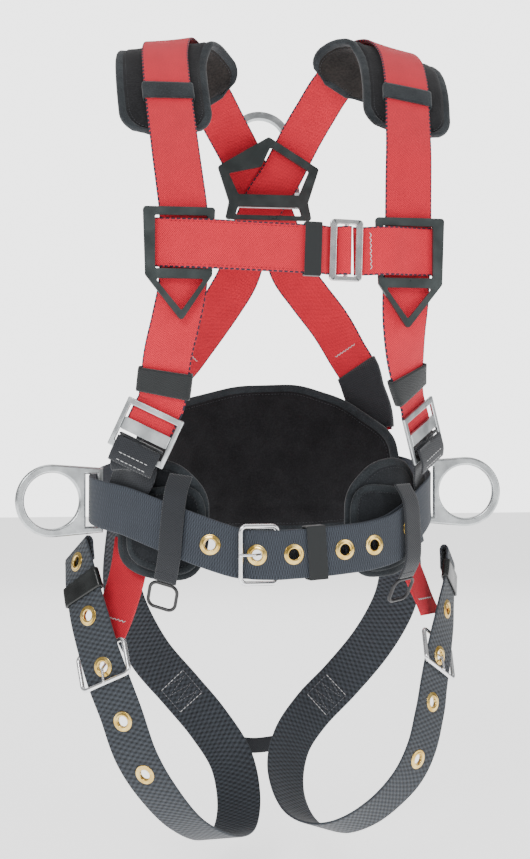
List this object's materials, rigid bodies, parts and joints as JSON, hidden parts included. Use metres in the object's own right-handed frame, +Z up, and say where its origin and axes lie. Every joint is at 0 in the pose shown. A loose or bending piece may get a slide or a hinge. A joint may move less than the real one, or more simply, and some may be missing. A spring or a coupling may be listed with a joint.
{
  "type": "safety harness",
  "caption": "Full-body fall-arrest harness with shoulder, chest and leg webbing, padded waist belt, prong buckles and three attachment rings.",
  "frame": {"origin": "middle of the wearer's waist at belt height", "axes": "+Z up the wearer, -Y to the wearer's front, +X to the wearer's left"},
  "size_m": [0.4794, 0.3057, 0.7998],
  "materials": {
    "black_elastic": "woven",
    "black_pad": "mesh covered foam",
    "black_plastic": "moulded",
    "black_web": "woven webbing",
    "black_wire": "black",
    "brass_eyelet": "polished",
    "bright_steel": "bright",
    "grey_web": "coarse woven webbing",
    "red_web": "woven polyester webbing",
    "zinc_steel": "satin zinc"
  },
  "bodies": {
    "harness": {"back_pad": "black_pad", "back_sleeve_left": "black_elastic", "back_sleeve_right": "black_elastic", "belt_eyelets": "brass_eyelet", "belt_keeper": "black_elastic", "belt_tab_left": "black_web", "belt_tab_right": "black_web", "chest_buckle": "bright_steel", "chest_buckle_bar": "bright_steel", "chest_frame_left": "black_plastic", "chest_frame_right": "black_plastic", "chest_strap_long": "red_web", "chest_strap_short": "red_web", "dorsal_plate": "black_plastic", "hip_pad_left": "black_pad", "hip_pad_right": "black_pad", "hip_panel_left": "black_pad", "hip_panel_right": "black_pad", "hip_strap_left": "black_web", "hip_strap_right": "black_web", "leg_buckle_left": "bright_steel", "leg_buckle_right": "bright_steel", "leg_eyelets_left": "brass_eyelet", "leg_eyelets_right": "brass_eyelet", "leg_keeper_left": "black_elastic", "leg_keeper_right": "black_elastic", "leg_strap_left": "grey_web", "leg_strap_right": "grey_web", "leg_tab_left": "red_web", "leg_tab_right": "red_web", "shoulder_pad_band_left": "black_elastic", "shoulder_pad_band_right": "black_elastic", "shoulder_pad_left": "black_pad", "shoulder_pad_right": "black_pad", "shoulder_strap_left": "red_web", "shoulder_strap_right": "red_web", "sub_pelvic_strap": "red_web", "torso_adjuster_left": "zinc_steel", "torso_adjuster_right": "zinc_steel", "torso_keeper_left": "black_elastic", "torso_keeper_right": "black_elastic", "waist_belt": "grey_web", "waist_buckle": "bright_steel"},
    "dorsal_d_ring": {"dorsal_d_ring": "zinc_steel"},
    "side_d_ring_right": {"side_d_ring_right": "zinc_steel"},
    "side_d_ring_left": {"side_d_ring_left": "zinc_steel"},
    "waist_buckle_prong": {"waist_buckle_prong": "bright_steel"},
    "leg_buckle_prong_right": {"leg_buckle_prong_right": "bright_steel"},
    "leg_buckle_prong_left": {"leg_buckle_prong_left": "bright_steel"},
    "chest_keeper": {"chest_keeper": "black_elastic"},
    "tool_ring_right": {"tool_ring_right": "black_wire"},
    "tool_ring_left": {"tool_ring_left": "black_wire"},
    "torso_adjuster_bar_right": {"torso_adjuster_bar_right": "zinc_steel"},
    "torso_adjuster_bar_left": {"torso_adjuster_bar_left": "zinc_steel"}
  },
  "joints": [
    {"name": "dorsal_d_ring_turn", "type": "hinge", "parent": "harness", "child": "dorsal_d_ring", "pos_m": [0.022, 0.12, 0.329], "axis": [1, 0, 0], "range_deg": [-76, 3]},
    {"name": "side_d_ring_right_turn", "type": "hinge", "parent": "harness", "child": "side_d_ring_right", "pos_m": [-0.1755, -0.038, 0.0125], "axis": [0, 0, 1], "range_deg": [-35, 35]},
    {"name": "side_d_ring_left_turn", "type": "hinge", "parent": "harness", "child": "side_d_ring_left", "pos_m": [0.1605, -0.026, 0.018], "axis": [0, 0, 1], "range_deg": [-35, 13]},
    {"name": "waist_buckle_prong_turn", "type": "hinge", "parent": "harness", "child": "waist_buckle_prong", "pos_m": [-0.012, -0.134, -0.034], "axis": [0, 0, 1], "range_deg": [0, 4]},
    {"name": "leg_buckle_prong_right_turn", "type": "hinge", "parent": "harness", "child": "leg_buckle_prong_right", "pos_m": [-0.16861, -0.06986, -0.12431], "axis": [-0.7504, 0.5182, -0.4103], "range_deg": [0, 4]},
    {"name": "tool_ring_right_turn", "type": "hinge", "parent": "harness", "child": "tool_ring_right", "pos_m": [-0.11226, -0.1053, -0.06207], "axis": [0.8775, -0.4095, -0.2494], "range_deg": [-50, 50]},
    {"name": "torso_adjuster_bar_right_slide", "type": "slide", "parent": "harness", "child": "torso_adjuster_bar_right", "axis": [0.4088, -0.1205, 0.9046], "range_m": [-0.002, 0.002]},
    {"name": "leg_buckle_prong_left_turn", "type": "hinge", "parent": "harness", "child": "leg_buckle_prong_left", "pos_m": [0.16387, -0.0478, -0.12626], "axis": [-0.6665, -0.5777, 0.4712], "range_deg": [0, 4]},
    {"name": "tool_ring_left_turn", "type": "hinge", "parent": "harness", "child": "tool_ring_left", "pos_m": [0.11801, -0.09703, -0.06191], "axis": [0.8187, 0.5691, 0.0761], "range_deg": [-50, 50]},
    {"name": "torso_adjuster_bar_left_slide", "type": "slide", "parent": "harness", "child": "torso_adjuster_bar_left", "axis": [-0.3089, -0.2878, 0.9065], "range_m": [-0.002, 0.002]},
    {"name": "chest_keeper_slide", "type": "slide", "parent": "harness", "child": "chest_keeper", "axis": [0.9993, 0.0216, -0.0309], "range_m": [-0.055, 0]}
  ]
}
